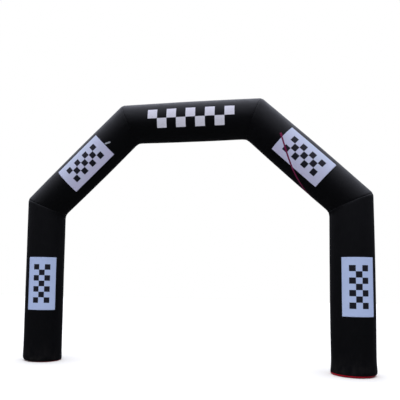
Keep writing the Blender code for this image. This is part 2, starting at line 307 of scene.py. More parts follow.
def air_tube_tree(tube_ends, tube_surface):
    """The whole sleeve: a grid wound round the tube, drawn to a point at each closed end."""
    takes = {**TUBE_SOCKETS, "Rings": INTEGER, "Around": INTEGER, "Cloth": MATERIAL}
    tree, given, result = new_tree("air tube", takes, {"Geometry": GEOMETRY})
    grid = add(tree, "GeometryNodeMeshGrid",
               {"Size X": 1.0, "Size Y": 1.0, "Vertices X": given["Rings"], "Vertices Y": given["Around"]})
    spot = add(tree, "ShaderNodeSeparateXYZ", (add(tree, "GeometryNodeInputPosition"),))
    angle = add(tree, MATH, (spot.outputs["Y"], math.tau), operation="MULTIPLY")
    ends = add(tree, GROUP, tube_of(given, Angle=angle), node_tree=tube_ends)

    # The first and last rows are the closed ends' middles, so the rows between them are the sleeve.
    steps = add(tree, MATH, (given["Rings"], 1.0), operation="SUBTRACT")
    row = add(tree, MATH, (spot.outputs["X"], 0.5), operation="ADD")
    row = add(tree, MATH, (row, steps), operation="MULTIPLY")
    sleeve_rows = add(tree, MATH, (steps, 2.0), operation="SUBTRACT")
    share = add(tree, MATH, (row, 1.0), operation="SUBTRACT")
    share = add(tree, MATH, (share, sleeve_rows), operation="DIVIDE")
    after_first = add(tree, MATH, (share, -SHARE_SLACK), operation="GREATER_THAN")
    before_last = add(tree, MATH, (share, 1.0 + SHARE_SLACK), operation="LESS_THAN")
    on_sleeve = add(tree, MATH, (after_first, before_last), operation="MULTIPLY")
    share = add(tree, CLAMP, (share,))
    along = add(tree, MIX, {"Factor": share, "A": ends.outputs["First"], "B": ends.outputs["Last"]})
    cloth = add(tree, GROUP, tube_of(given, Along=along, Angle=angle, Lift=0.0), node_tree=tube_surface)

    middle = add(tree, MATH, (share, given["Length"]), operation="MULTIPLY")
    middle = add(tree, VECTOR_MATH, {"Vector": given["Axis"], "Scale": middle}, operation="SCALE")
    middle = add(tree, VECTOR_MATH, (given["Start"], middle), operation="ADD")
    place = add(tree, MIX, {"Factor": on_sleeve, "A": middle, "B": cloth}, data_type="VECTOR")

    # The cloth's own map is in metres: along the tube, and round it from the front's middle.
    round_it = add(tree, MATH, (angle, given["Radius"]), operation="MULTIPLY")
    cloth_map = add(tree, "ShaderNodeCombineXYZ", (along, round_it))
    lay_cloth(tree, given, result, grid, cloth_map, place.outputs["Result"], MERGE_WITHIN)
    return tree


def grow(name, tree, values):
    """Runs a Geometry Nodes tree with its sizes and keeps what it makes as a plain mesh."""
    made = bpy.data.objects.new(name, bpy.data.meshes.new(name))
    bpy.context.scene.collection.objects.link(made)
    modifier = made.modifiers.new(tree.name, "NODES")
    modifier.node_group = tree
    for socket in tree.interface.items_tree:
        if socket.in_out == "INPUT" and socket.name in values:
            modifier[socket.identifier] = values[socket.name]
    shown = made.evaluated_get(bpy.context.evaluated_depsgraph_get())
    made.data = bpy.data.meshes.new_from_object(shown)
    made.modifiers.clear()
    made.data.name = name
    return made


def linear(code):
    """A colour for a node from its sRGB hex code."""
    parts = [int(code[i:i + 2], 16) / 255 for i in (1, 3, 5)]
    return [p / 12.92 if p <= 0.04045 else ((p + 0.055) / 1.055) ** 2.4 for p in parts] + [1.0]


def unit(x, z):
    """A direction in the upright plane that the tubes' axes lie in."""
    return Vector((x, 0.0, z)).normalized()


leg_way = unit(0.0, 1.0)
haunch_way = unit(LEG_X - CORNER_X, CORNER_Z - SHOULDER_Z)
shoulder_bend = leg_way.angle(haunch_way) / 2
corner_bend = haunch_way.angle(unit(1.0, 0.0)) / 2
haunch_length = math.hypot(LEG_X - CORNER_X, CORNER_Z - SHOULDER_Z)


def end_values(end, bend, folds, seed):
    """One end's sizes. An end with no bend is a sole, which isn't drawn in."""
    return {
        f"{end} bend": bend,
        f"{end} outer fold": folds[0],
        f"{end} inner fold": folds[1],
        f"{end} groove": SEAM_DRAW if bend else 0.0,
        f"{end} seed": seed,
    }


def tube_values(start, way, length, start_end, end_end, out, foot_spread=0.0):
    """One tube's sizes, by the names of the trees' inputs."""
    foot = 0.0 if start_end[0] else 1.0
    return {
        **TUBE_SHAPE,
        **end_values("Start", *start_end),
        **end_values("End", *end_end),
        "Start": start,
        "Axis": way,
        "Out": out,
        "Length": length,
        "Foot rim": FOOT_RIM * foot,
        "Foot rim lean": FOOT_RIM_LEAN,
        "Foot spread": foot_spread,
        "Foot spread reach": FOOT_SPREAD_REACH,
        "Foot pucker": FOOT_PUCKER * foot,
    }


# Seeds of the noise at each kind of end. Left-hand mitres take one less, right-hand ones one more.
SOLE_SEED = 11.0
SHOULDER_SEED = 3.0
CORNER_SEED = 7.0

sole = (0.0, SHOULDER_FOLDS, SOLE_SEED)
corner = {}
tubes = {}
for hand_name, hand in (("left", -1.0), ("right", 1.0)):
    shoulder = (shoulder_bend, SHOULDER_FOLDS, SHOULDER_SEED + hand)
    corner[hand_name] = (corner_bend, CORNER_FOLDS, CORNER_SEED + hand)
    upward = Vector((-hand * haunch_way.x, 0.0, haunch_way.z))
    tubes[hand_name + "_leg"] = tube_values(
        Vector((hand * LEG_X, 0.0, 0.0)), leg_way, SHOULDER_Z, sole, shoulder, Vector((hand, 0.0, 0.0)),
        FOOT_SPREAD[hand_name])
    tubes[hand_name + "_haunch"] = tube_values(
        Vector((hand * LEG_X, 0.0, SHOULDER_Z)), upward, haunch_length, shoulder, corner[hand_name],
        Vector((hand * haunch_way.z, 0.0, haunch_way.x)))
tubes["top_beam"] = tube_values(
    Vector((-CORNER_X, 0.0, CORNER_Z)), unit(1.0, 0.0), 2 * CORNER_X, corner["left"], corner["right"],
    unit(0.0, 1.0))
# The left leg is a little narrower than the others: the pressure doesn't swell it.
tubes["left_leg"]["Swell"] = 0.0

mitred_end = mitred_end_tree()
tube_ends = tube_ends_tree(mitred_end)
tube_surface = tube_surface_tree(mitred_end, tube_ends)
air_tube = air_tube_tree(tube_ends, tube_surface)


def new_material(name, finish):
    """A material with the finish that is the same all over it: (material, its tree, its shader)."""
    made = bpy.data.materials.new(name)
    made.use_nodes = True
    tree = made.node_tree
    shader = tree.nodes["Principled BSDF"]
    for socket, value in finish.items():
        shader.inputs[socket].default_value = value
    return made, tree, shader


# A wave texture's bands lie this many units apart, divided by its scale.
WAVE_BANDS = math.tau / 20
# Most of a noise texture lies between these values.
NOISE_SPAN = (0.3, 0.7)


def plain_weave(tree, cloth_map, pitch):
    """The height of a plain weave, with yarns at one pitch along the cloth and across it."""
    scale = WAVE_BANDS / pitch
    warp = add(tree, "ShaderNodeTexWave", {"Vector": cloth_map, "Scale": scale}, bands_direction="X")
    weft = add(tree, "ShaderNodeTexWave", {"Vector": cloth_map, "Scale": scale}, bands_direction="Y")
    return add(tree, MATH, (warp.outputs["Fac"], weft.outputs["Fac"]), operation="MULTIPLY")


# PVC-coated polyester is a plain weave under a thin, semi-matt film. The eye sees a deep black that
# shines broadly and faintly where it faces the sky. Where the film is thinner it has soft patches,
# about 770 mm apart, and finer spots, about 110 mm apart.
CLOTH_DARK = "#080809"
CLOTH_LIGHT = "#0a0a0c"
CLOTH_FINISH = {"IOR": 1.53, "Specular IOR Level": 0.13, "Sheen Weight": 0.03, "Sheen Roughness": 0.3}
CLOTH_ROUGHNESS = (0.40, 0.48)
PATCHES_PER_METRE = 1.3
FILM_SPOTS_PER_METRE = 9.0
# How high the film's spots stand, in heights of the weave.
FILM_RELIEF = 2.0
CLOTH_RELIEF = 0.35
# The yarns are 0.5 mm apart on the real cloth, and ten times as coarse here so that they show.
YARN_PITCH = 0.005
YARN_HEIGHT = 0.0006
# Dust splashes up onto the feet, thins out with height and dulls the film.
DUST = "#7d7266"
DUST_HEIGHT = 0.45
DUST_THINNING = 2.0
DUST_SPAN = (0.42, 0.68)
DUST_MOST = 0.05
DUST_DULLING = 0.35


def coated_cloth(name):
    """The tubes' black cloth: (material, its tree, its shader, the colour that a print covers)."""
    made, tree, shader = new_material(name, CLOTH_FINISH)
    cloth_map = add(tree, "ShaderNodeUVMap", uv_map="UVMap")
    place = add(tree, "ShaderNodeTexCoord").outputs["Object"]
    weave = plain_weave(tree, cloth_map, YARN_PITCH)
    patches = add(tree, NOISE, {"Vector": place, "Scale": PATCHES_PER_METRE, "Detail": 3.0})
    film = add(tree, NOISE, {"Vector": place, "Scale": FILM_SPOTS_PER_METRE, "Detail": 4.0})
    tone = add(tree, "ShaderNodeMapRange", (patches, *NOISE_SPAN, 0.0, 1.0))
    black = add(tree, MIX, data_type="RGBA",
                inputs={"Factor": tone, "A": linear(CLOTH_DARK), "B": linear(CLOTH_LIGHT)})

    height = add(tree, "ShaderNodeSeparateXYZ", (place,))
    low = add(tree, "ShaderNodeMapRange", (height.outputs["Z"], 0.0, DUST_HEIGHT, 1.0, 0.0))
    low = add(tree, MATH, (low, DUST_THINNING), operation="POWER")
    dust = add(tree, "ShaderNodeMapRange", (film, *DUST_SPAN, 0.0, DUST_MOST))
    dust = add(tree, MATH, (dust, low), operation="MULTIPLY")
    dusty = add(tree, MIX, data_type="RGBA",
                inputs={"Factor": dust, "A": black.outputs["Result"], "B": linear(DUST)})
    tree.links.new(dusty.outputs["Result"], shader.inputs["Base Color"])

    gloss = add(tree, "ShaderNodeMapRange", (film, *NOISE_SPAN, *CLOTH_ROUGHNESS))
    gloss = add(tree, MATH, (dust, DUST_DULLING, gloss), operation="MULTIPLY_ADD")
    tree.links.new(gloss.outputs[0], shader.inputs["Roughness"])
    crumple = add(tree, MATH, (film, FILM_RELIEF, weave), operation="MULTIPLY_ADD")
    relief = add(tree, "ShaderNodeBump",
                 {"Height": crumple, "Strength": CLOTH_RELIEF, "Distance": YARN_HEIGHT})
    tree.links.new(relief.outputs[0], shader.inputs["Normal"])
    return made, tree, shader, dusty.outputs["Result"]


def chequer(tree, cloth_map, columns, rows, square, middle=(0.0, 0.0, 0.0)):
    """A print of chequered squares on a cloth: (1 inside it, 1 on every second square)."""
    spot = add(tree, VECTOR_MATH, (cloth_map, middle), operation="SUBTRACT")
    cells = add(tree, VECTOR_MATH, {"Vector": spot, "Scale": 1 / square}, operation="SCALE")
    size = add(tree, VECTOR_MATH, (cells,), operation="ABSOLUTE")
    size = add(tree, "ShaderNodeSeparateXYZ", (size,))
    inside_long = add(tree, MATH, (size.outputs["X"], columns / 2), operation="LESS_THAN")
    inside_high = add(tree, MATH, (size.outputs["Y"], rows / 2), operation="LESS_THAN")
    inside = add(tree, MATH, (inside_long, inside_high), operation="MULTIPLY")
    shifted = add(tree, VECTOR_MATH, (cells, (columns / 2, rows / 2, 0.0)), operation="ADD")
    cell = add(tree, VECTOR_MATH, (shifted,), operation="FLOOR")
    cell = add(tree, "ShaderNodeSeparateXYZ", (cell,))
    count = add(tree, MATH, (cell.outputs["X"], cell.outputs["Y"]), operation="ADD")
    odd = add(tree, MATH, (count, 2.0), operation="FLOORED_MODULO")
    return inside, odd


# The beam's front has a screen-printed band of chequers. The eye sees flat, chalky white ink that is
# a little worn, in spots about 25 mm apart.
PRINT_WHITE = "#dad8e0"
BAND_SQUARE = 0.17
BAND_COLUMNS = 9
BAND_ROWS = 2
# The band's middle is this far right of the beam's, and this far up its front.
BAND_RIGHT = 0.035
BAND_UP = -0.015
INK_SPOTS_PER_METRE = 40.0
INK_WORN_SPAN = (0.25, 0.45)
INK_LEFT = (0.80, 1.0)


def printed_cloth(name):
    """The beam's cloth: the tubes' black cloth with white squares printed on its front."""
    made, tree, shader, cloth_colour = coated_cloth(name)
    cloth_map = add(tree, "ShaderNodeUVMap", uv_map="UVMap")
    middle = (CORNER_X + BAND_RIGHT, BAND_UP, 0.0)
    in_band, white_square = chequer(tree, cloth_map, BAND_COLUMNS, BAND_ROWS, BAND_SQUARE, middle)
    ink = add(tree, MATH, (in_band, white_square), operation="MULTIPLY")
    wear = add(tree, NOISE, {"Vector": cloth_map, "Scale": INK_SPOTS_PER_METRE, "Detail": 4.0})
    wear = add(tree, "ShaderNodeMapRange", (wear, *INK_WORN_SPAN, *INK_LEFT))
    ink = add(tree, MATH, (ink, wear), operation="MULTIPLY")
    inked = add(tree, MIX, data_type="RGBA",
                inputs={"Factor": ink, "A": cloth_colour, "B": linear(PRINT_WHITE)})
    tree.links.new(inked.outputs["Result"], shader.inputs["Base Color"])
    return made


# The soles are red cloth, which shows as a thin line where it turns up round the rim.
SOLE_RED = "#b80f24"
LEFT_SOLE_EDGE = 0.010
RIGHT_SOLE_EDGE = 0.032
SOLE_BLUR = 0.003


def red_soled_cloth(name, edge):
    """The legs' cloth, with the red cloth of the sole below the edge where it turns up."""
    made, tree, shader, cloth_colour = coated_cloth(name)
    place = add(tree, "ShaderNodeTexCoord").outputs["Object"]
    height = add(tree, "ShaderNodeSeparateXYZ", (place,)).outputs["Z"]
    on_sole = add(tree, "ShaderNodeMapRange", (height, edge, edge + SOLE_BLUR, 1.0, 0.0))
    soled = add(tree, MIX, data_type="RGBA",
                inputs={"Factor": on_sole, "A": cloth_colour, "B": linear(SOLE_RED)})
    tree.links.new(soled.outputs["Result"], shader.inputs["Base Color"])
    return made


plain_cloth = coated_cloth("coated_polyester")[0]
cloth_of = {
    "left_leg": red_soled_cloth("coated_polyester_low_red_sole", LEFT_SOLE_EDGE),
    "left_haunch": plain_cloth,
    "top_beam": printed_cloth("coated_polyester_printed"),
    "right_haunch": plain_cloth,
    "right_leg": red_soled_cloth("coated_polyester_red_sole", RIGHT_SOLE_EDGE),
}
for tube_name, values in tubes.items():
    # A sleeve has one row more than its steps, and each closed end adds its middle.
    rings = int(values["Length"] / RING_STEP) + 3
    sizes = {**values, "Rings": rings, "Around": AROUND, "Cloth": cloth_of[tube_name]}
    tube = grow("cloth_" + tube_name, air_tube, sizes)
    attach(tube, "root")
    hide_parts(tube_name)

# ------------------------------------------------------------------------------------------------
# Four white banner panels, one on the front of each leg and each haunch. They are polyester cloth
# with a folded hem, printed with black chequers and sewn to the tube all round.
# ------------------------------------------------------------------------------------------------

# A panel's long edges lie on two edges of its solid tube, which has the first number of sides. The
# second number of them lies under the panel.
SIDES_ROUND = 50
PANEL_SIDES = 12
TUBE_SIDE = math.tau / SIDES_ROUND
PANEL_WIDTH = PANEL_SIDES * TUBE_SIDE * TUBE_SHAPE["Radius"]
LEG_PANEL_LENGTH = 0.955
HAUNCH_PANEL_LENGTH = 0.976
PANEL_THICKNESS = 0.0015
# A panel's points lie this far apart.
PANEL_STEP = 0.009
PANEL_SHAPE = {
    "Panel width": PANEL_WIDTH,
    "Panel lift": 0.0003,
    "Hem width": 0.022,
    "Hem height": 0.0008,
    "Ripple height": 0.0016,
    "Ripple reach": 0.06,
    "Ripples per metre": 13.0,
}
# The hem's height falls away between these distances past its stitched edge.
HEM_FALL = (-0.002, 0.004)
# Each panel's centre above its tube's lower end, its length, and how far round it is sewn.
panel_at = {
    "left_leg": (1.409, LEG_PANEL_LENGTH, -2 * TUBE_SIDE),
    "left_haunch": (1.137, HAUNCH_PANEL_LENGTH, -TUBE_SIDE),
    "right_haunch": (1.090, HAUNCH_PANEL_LENGTH, 0.0),
    "right_leg": (1.441, LEG_PANEL_LENGTH, TUBE_SIDE),
}


def panel_tree():
    """A rectangle of cloth that lies on a tube, with a thicker hem and slack ripples beside it."""
    takes = {**TUBE_SOCKETS, **dict.fromkeys(PANEL_SHAPE, FLOAT), "Middle": FLOAT, "Turn": FLOAT,
             "Panel length": FLOAT, "Columns": INTEGER, "Rows": INTEGER, "Cloth": MATERIAL}
    tree, given, result = new_tree("sewn panel", takes, {"Geometry": GEOMETRY})
    grid = add(tree, "GeometryNodeMeshGrid", {
        "Size X": given["Panel length"], "Size Y": given["Panel width"],
        "Vertices X": given["Columns"], "Vertices Y": given["Rows"]})
    place = add(tree, "GeometryNodeInputPosition")
    spot = add(tree, "ShaderNodeSeparateXYZ", (place,))

    # How far in from the panel's edge a point is.
    insets = []
    for axis, size in (("X", given["Panel length"]), ("Y", given["Panel width"])):
        from_middle = add(tree, MATH, (spot.outputs[axis],), operation="ABSOLUTE")
        half = add(tree, MATH, (size, 0.5), operation="MULTIPLY")
        insets.append(add(tree, MATH, (half, from_middle), operation="SUBTRACT"))
    inset = add(tree, MATH, tuple(insets), operation="MINIMUM")

    past_hem = add(tree, MATH, (inset, given["Hem width"]), operation="SUBTRACT")
    on_hem = add(tree, "ShaderNodeMapRange", (past_hem, *HEM_FALL, 1.0, 0.0),
                 interpolation_type="SMOOTHSTEP")
    lift = add(tree, MATH, (on_hem, given["Hem height"], given["Panel lift"]), operation="MULTIPLY_ADD")
    seeded = add(tree, VECTOR_MATH, (place, given["Start"]), operation="ADD")
    ripple = add(tree, NOISE, {"Vector": seeded, "Scale": given["Ripples per metre"], "Detail": 1.0})
    fade = bell(tree, past_hem, given["Ripple reach"])
    off_hem = add(tree, MATH, (1.0, on_hem), operation="SUBTRACT")
    fade = add(tree, MATH, (fade, off_hem), operation="MULTIPLY")
    ripple = add(tree, MATH, (ripple, fade), operation="MULTIPLY")
    lift = add(tree, MATH, (ripple, given["Ripple height"], lift), operation="MULTIPLY_ADD")

    along = add(tree, MATH, (spot.outputs["X"], given["Middle"]), operation="ADD")
    angle = add(tree, MATH, (spot.outputs["Y"], given["Radius"]), operation="DIVIDE")
    angle = add(tree, MATH, (angle, given["Turn"]), operation="ADD")
    cloth = add(tree, GROUP, tube_of(given, Along=along, Angle=angle, Lift=lift), node_tree=tube_surface)
    lay_cloth(tree, given, result, grid, place, cloth)
    return tree


def thicken(cloth, thickness):
    """Gives a sheet that lies on a tube its thickness, outwards."""
    wall = cloth.modifiers.new("cloth thickness", "SOLIDIFY")
    wall.thickness = thickness
    wall.offset = 1.0


# Banner polyester is a plain, uncoated weave. The eye sees a matt, slightly blue white with faint
# patches, about 290 mm apart, and a dull black print. Its yarns are as coarse here as the tubes' are.
# Painted light and shade: each panel's colour shifts from the outer colour at its outer edge to the inner
# one at its inner edge, and the legs' pair is a darker, bluer copy of the haunches' pair, painted shade on
# the lower panels.
HAUNCH_OUTER = "#bec7d7"
HAUNCH_INNER = "#c5c1da"
LEG_OUTER = "#b0bfde"
LEG_INNER = "#b6c5e2"
BANNER_BLACK = "#10101d"
BANNER_FINISH = {"Roughness": 0.62, "Specular IOR Level": 0.3}
BANNER_PATCHES_PER_METRE = 3.5
BANNER_PATCH_TONE = (-0.25, 0.25)
BANNER_RELIEF = 0.4
PANEL_SQUARE = 0.10
PANEL_COLUMNS = 7
PANEL_ROWS = 3


def banner_cloth(name, outer, inner):
    """Banner polyester with a print of black squares, and painted light and shade across it from its outer
    edge to its inner one.
    """
    made, tree, shader = new_material(name, BANNER_FINISH)
    cloth_map = add(tree, "ShaderNodeUVMap", uv_map="UVMap")
    place = add(tree, "ShaderNodeTexCoord").outputs["Object"]
    across = add(tree, "ShaderNodeSeparateXYZ", (cloth_map,)).outputs["Y"]
    # Painted light and shade: the colour shifts across the panel from its outer edge to its inner one, with
    # faint random patches on top.
    painted_shade_across = add(tree, MATH, (across, -1 / PANEL_WIDTH, 0.5), operation="MULTIPLY_ADD")
    patches = add(tree, NOISE, {"Vector": place, "Scale": BANNER_PATCHES_PER_METRE, "Detail": 4.0})
    patches = add(tree, "ShaderNodeMapRange", (patches, *NOISE_SPAN, *BANNER_PATCH_TONE))
    tone = add(tree, MATH, (painted_shade_across, patches), operation="ADD", use_clamp=True)
    plain = add(tree, MIX, {"Factor": tone, "A": linear(outer), "B": linear(inner)}, data_type="RGBA")

    # The corner squares of the print are black.
    in_print, white_square = chequer(tree, cloth_map, PANEL_COLUMNS, PANEL_ROWS, PANEL_SQUARE)
    black_square = add(tree, MATH, (1.0, white_square), operation="SUBTRACT")
    ink = add(tree, MATH, (in_print, black_square), operation="MULTIPLY")
    printed = add(tree, MIX, data_type="RGBA",
                  inputs={"Factor": ink, "A": plain.outputs["Result"], "B": linear(BANNER_BLACK)})
    tree.links.new(printed.outputs["Result"], shader.inputs["Base Color"])
    weave = plain_weave(tree, cloth_map, YARN_PITCH)
    relief = add(tree, "ShaderNodeBump",
                 {"Height": weave, "Strength": BANNER_RELIEF, "Distance": YARN_HEIGHT})
    tree.links.new(relief.outputs[0], shader.inputs["Normal"])
    return made


# The legs' panels take a darker, bluer copy of the haunches' cloth: painted shade on the lower panels.
leg_banner = banner_cloth("faded_banner_polyester", LEG_OUTER, LEG_INNER)
haunch_banner = banner_cloth("banner_polyester", HAUNCH_OUTER, HAUNCH_INNER)
sewn_panel = panel_tree()
for tube_name, (middle, length, turn) in panel_at.items():
    panel = grow("banner_" + tube_name, sewn_panel, {
        **tubes[tube_name], **PANEL_SHAPE, "Middle": middle, "Turn": turn, "Panel length": length,
        "Columns": round(length / PANEL_STEP) + 1, "Rows": round(PANEL_WIDTH / PANEL_STEP) + 1,
        "Cloth": leg_banner if "leg" in tube_name else haunch_banner})
    thicken(panel, PANEL_THICKNESS)
    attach(panel, "root")
    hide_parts(tube_name + "_panel")

# ------------------------------------------------------------------------------------------------
# The webbing: a red polyester strap that winds round the right haunch, sewn down on a short tab in
# front and another behind, and a light grey tab above the left haunch's panel. All of it is flat
# narrow weaving, 1.5 mm thick, and the strap steps over the panel and the tabs that it crosses.
# ------------------------------------------------------------------------------------------------

# Heights on the haunch are along it, up from the shoulder, and angles go round it from the front.
STRAP_WIDTH = 0.025
STRAP_TOP = 1.638
STRAP_BOTTOM = 0.354
STRAP_FRONT_AT = 1.616
STRAP_FRONT_ANGLE = math.radians(2.5)
STRAP_TURN_PER_METRE = math.radians(93.0)
STRAP_TAB_WIDTH = 0.036
STRAP_TAB_LENGTH = 0.060
STRAP_TAB_INSET = 0.022
LEFT_TAB_AT = 1.685
LEFT_TAB_WIDTH = 0.027
LEFT_TAB_LENGTH = 0.106
LEFT_TAB_SLANT = math.radians(26.0)
LEFT_TAB_ANGLE = math.radians(-13.0)
# How much the strap rises over the panel and over its tabs.
PANEL_TOP = 0.0018
TAB_TOP = 0.0021
WEBBING_THICKNESS = 0.0015
# The strips' rows lie this far apart.
WEBBING_STEP = 0.008
WEBBING_SHAPE = {
    "Columns": 7,
    "Lift": 0.0006,
    "Panel middle": panel_at["right_haunch"][0],
    "Panel length": HAUNCH_PANEL_LENGTH,
    "Panel width": PANEL_WIDTH,
    "Tab reach": 0.084,
    "Step flat": 0.022,
    "Step fall": 0.045,
}


def webbing_tree():
    """A strip along a straight path on a tube, square to it, that steps over what it crosses."""
    takes = {
        **TUBE_SOCKETS,
        **dict.fromkeys((
            "From along", "From angle", "To along", "To angle", "Width", "Lift", "Panel top",
            "Panel middle", "Panel length", "Panel width", "Tab top", "Tab reach", "Step flat",
            "Step fall"), FLOAT),
        "Rows": INTEGER, "Columns": INTEGER, "Cloth": MATERIAL}
    tree, given, result = new_tree("webbing on a tube", takes, {"Geometry": GEOMETRY})
    grid = add(tree, "GeometryNodeMeshGrid", {
        "Size X": 1.0, "Size Y": given["Width"],
        "Vertices X": given["Rows"], "Vertices Y": given["Columns"]})
    spot = add(tree, "ShaderNodeSeparateXYZ", (add(tree, "GeometryNodeInputPosition"),))
    share = add(tree, MATH, (spot.outputs["X"], 0.5), operation="ADD")
    along_path = add(tree, MIX, {"Factor": share, "A": given["From along"], "B": given["To along"]})
    angle_on_path = add(tree, MIX, {"Factor": share, "A": given["From angle"], "B": given["To angle"]})

    # The path's direction on the unrolled tube, and from it the strip's width.
    ahead = add(tree, MATH, (given["To along"], given["From along"]), operation="SUBTRACT")
    turned = add(tree, MATH, (given["To angle"], given["From angle"]), operation="SUBTRACT")
    turned = add(tree, MATH, (turned, given["Radius"]), operation="MULTIPLY")
    way = add(tree, "ShaderNodeCombineXYZ", (ahead, turned))
    length = add(tree, VECTOR_MATH, (way,), operation="LENGTH").outputs["Value"]
    way = add(tree, "ShaderNodeSeparateXYZ", (add(tree, VECTOR_MATH, (way,), operation="NORMALIZE"),))
    beside = add(tree, MATH, (way.outputs["Y"], spot.outputs["Y"]), operation="MULTIPLY")
    along = add(tree, MATH, (along_path, beside), operation="SUBTRACT")
    across = add(tree, MATH, (way.outputs["X"], spot.outputs["Y"]), operation="MULTIPLY")
    across = add(tree, MATH, (across, given["Radius"]), operation="DIVIDE")
    angle = add(tree, MATH, (angle_on_path, across), operation="ADD")

    # How far a point is past the panel's edge, and how far it is from the strip's nearer end.
    past_edge = []
    round_it = add(tree, MATH, (angle, given["Radius"]), operation="MULTIPLY")
    for place, middle, size in ((along, given["Panel middle"], given["Panel length"]),
                                (round_it, 0.0, given["Panel width"])):
        off = add(tree, MATH, (place, middle), operation="SUBTRACT")
        off = add(tree, MATH, (off,), operation="ABSOLUTE")
        off = add(tree, MATH, (size, -0.5, off), operation="MULTIPLY_ADD")
        past_edge.append(add(tree, MATH, (off, 0.0), operation="MAXIMUM"))
    past_edge = add(tree, "ShaderNodeCombineXYZ", tuple(past_edge))
    past_panel = add(tree, VECTOR_MATH, (past_edge,), operation="LENGTH").outputs["Value"]
    past_panel = add(tree, MATH, (past_panel, given["Step flat"]), operation="SUBTRACT")
    to_start = add(tree, MATH, (share, length), operation="MULTIPLY")
    to_end = add(tree, MATH, (length, to_start), operation="SUBTRACT")
    past_tab = add(tree, MATH, (to_start, to_end), operation="MINIMUM")
    past_tab = add(tree, MATH, (past_tab, given["Tab reach"]), operation="SUBTRACT")
    steps = []
    for past, top in ((past_panel, given["Panel top"]), (past_tab, given["Tab top"])):
        on_it = add(tree, "ShaderNodeMapRange", interpolation_type="SMOOTHSTEP", inputs={
            "Value": past, "From Min": 0.0, "From Max": given["Step fall"], "To Min": 1.0, "To Max": 0.0})
        steps.append(add(tree, MATH, (on_it, top), operation="MULTIPLY"))
    lift = add(tree, MATH, tuple(steps), operation="MAXIMUM")
    lift = add(tree, MATH, (lift, given["Lift"]), operation="ADD")

    cloth = add(tree, GROUP, tube_of(given, Along=along, Angle=angle, Lift=lift), node_tree=tube_surface)
    strip_map = add(tree, "ShaderNodeCombineXYZ", (to_start, spot.outputs["Y"]))
    lay_cloth(tree, given, result, grid, strip_map, cloth)
    return tree


# Narrow polyester weaving has fat ribs across it: to the eye, a dull cloth with a little sheen, worn about
# every 45 mm. Each shade colour below is both the worn colour and painted shade, darker between the ribs.
# The real ribs are 1.2 mm apart, and these are 2.5 mm apart so that they show.
RED = "#84104d"
RED_SHADE = "#5d0834"
GREY = "#b2b5b7"
GREY_SHADE = "#898c8d"
WEBBING_FINISH = {"Roughness": 0.6, "Specular IOR Level": 0.2, "Sheen Weight": 0.03}
RIB_PITCH = 0.0025
RIB_HEIGHT = 0.0005
WEBBING_RELIEF = 0.7
WEBBING_SPOTS_PER_METRE = 22.0
# The colour turns from shade to full between these sums of the wear and the ribs' height, so the hollows
# between the ribs get painted shade.
WEBBING_TONE_SPAN = (0.4, 1.1)


def polyester_webbing(name, colour, shade):
    """Ribbed polyester webbing in a colour, darker where it is worn, with painted shade between the ribs.
    """
    made, tree, shader = new_material(name, WEBBING_FINISH)
    strip_map = add(tree, "ShaderNodeUVMap", uv_map="UVMap")
    weave = plain_weave(tree, strip_map, RIB_PITCH)
    wear = add(tree, NOISE, {"Vector": strip_map, "Scale": WEBBING_SPOTS_PER_METRE, "Detail": 4.0})
    # Painted shade: the low places between the ribs take the shade colour, as do the worn spots.
    tone = add(tree, MATH, (wear, weave), operation="ADD")
    tone = add(tree, "ShaderNodeMapRange", (tone, *WEBBING_TONE_SPAN, 0.0, 1.0))
    worn = add(tree, MIX, {"Factor": tone, "A": linear(shade), "B": linear(colour)}, data_type="RGBA")
    tree.links.new(worn.outputs["Result"], shader.inputs["Base Color"])
    relief = add(tree, "ShaderNodeBump",
                 {"Height": weave, "Strength": WEBBING_RELIEF, "Distance": RIB_HEIGHT})
    tree.links.new(relief.outputs[0], shader.inputs["Normal"])
    return made


red_webbing = polyester_webbing("red_polyester_webbing", RED, RED_SHADE)
grey_webbing = polyester_webbing("grey_polyester_webbing", GREY, GREY_SHADE)
webbing = webbing_tree()


def strap_angle(above_shoulder):
    """How far round the haunch the strap is, at a height above the shoulder."""
    return STRAP_FRONT_ANGLE + STRAP_TURN_PER_METRE * (above_shoulder - STRAP_FRONT_AT)


def lay_webbing(node, tube_name, start, end, width, cloth, over_panel=0.0, over_tabs=0.0):
    """Lays a strip between two (along, angle) places on a tube, and gives it its thickness."""
    length = math.hypot(end[0] - start[0], (end[1] - start[1]) * TUBE_SHAPE["Radius"])
    strip = grow("webbing_" + node, webbing, {
        **tubes[tube_name], **WEBBING_SHAPE, "From along": start[0], "From angle": start[1],
        "To along": end[0], "To angle": end[1], "Width": width, "Panel top": over_panel,
        "Tab top": over_tabs, "Rows": round(length / WEBBING_STEP) + 1, "Cloth": cloth})
    thicken(strip, WEBBING_THICKNESS)
    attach(strip, "root")
    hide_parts(node)


def lay_tab(node, tube_name, at, angle, size, slant, cloth):
    """A straight tab about a place on a tube; a positive slant turns its upper end outwards."""
    ahead = size[0] / 2 * math.cos(slant)
    turn = size[0] / 2 * math.sin(slant) / TUBE_SHAPE["Radius"]
    lay_webbing(node, tube_name, (at - ahead, angle - turn), (at + ahead, angle + turn), size[1], cloth)


